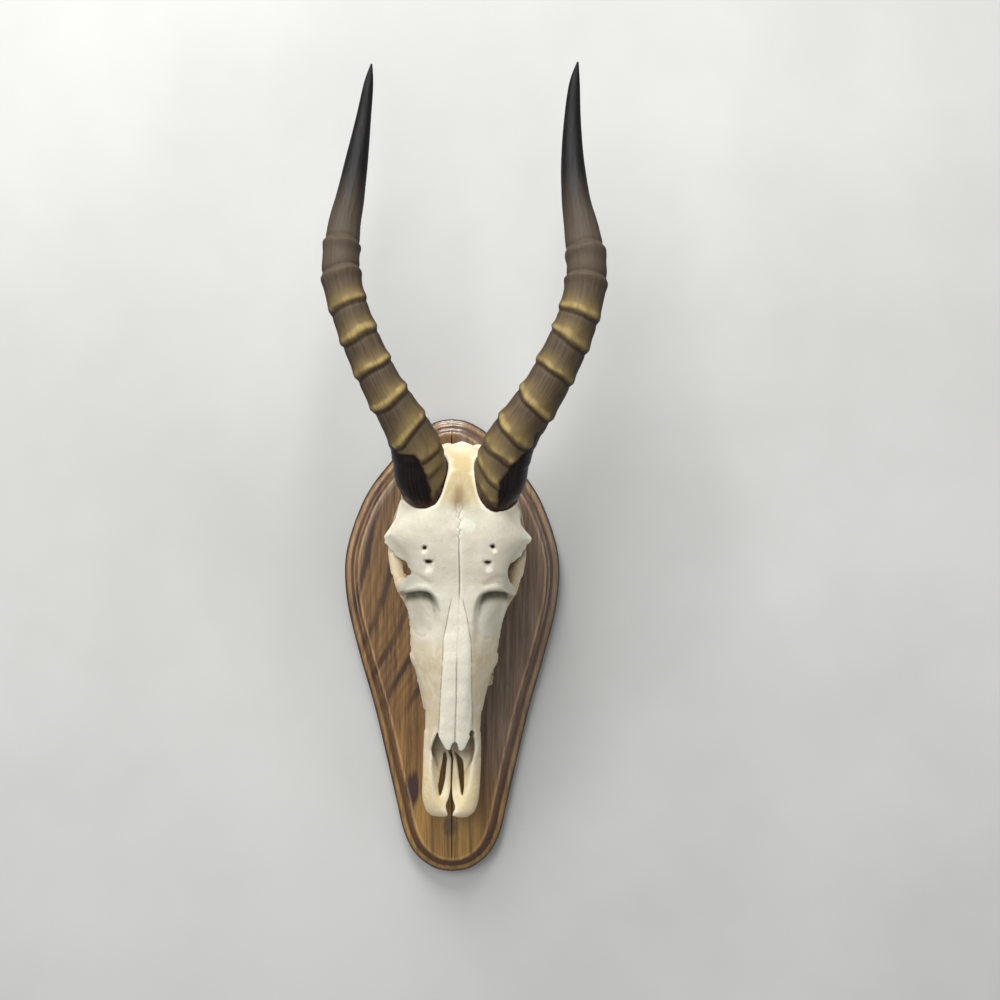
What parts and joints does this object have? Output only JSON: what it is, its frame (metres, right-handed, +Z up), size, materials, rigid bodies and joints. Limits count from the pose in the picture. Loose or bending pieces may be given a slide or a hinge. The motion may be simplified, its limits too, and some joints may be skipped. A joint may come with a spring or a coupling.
{
  "type": "blesbok skull mount",
  "caption": "Bleached antelope upper skull with long ringed lyre-shaped horns, screwed face outward onto a teardrop oak wall plaque with a moulded edge.",
  "frame": {"origin": "centre of the plaque's flat back face, where it meets the wall", "axes": "+Z up the wall, +Y into the wall, +X to the right of someone who looks at the face"},
  "size_m": [0.2136, 0.1519, 0.6388],
  "materials": {
    "oak": "stained and varnished, semi-gloss",
    "bone": "dry bleached bone, matt",
    "horn": "dull keratin, glossier at the tips",
    "enamel": "stained enamel, satin",
    "steel": "zinc-plated, satin"
  },
  "bodies": {
    "root": {"plaque": "oak", "skull": "bone", "horn_left": "horn", "horn_right": "horn", "tooth_left_1": "enamel", "tooth_left_2": "enamel", "tooth_left_3": "enamel", "tooth_left_4": "enamel", "tooth_left_5": "enamel", "tooth_left_6": "enamel", "tooth_right_1": "enamel", "tooth_right_2": "enamel", "tooth_right_3": "enamel", "tooth_right_4": "enamel", "tooth_right_5": "enamel", "tooth_right_6": "enamel", "screw_lower": "steel", "screw_upper": "steel"}
  },
  "joints": []
}
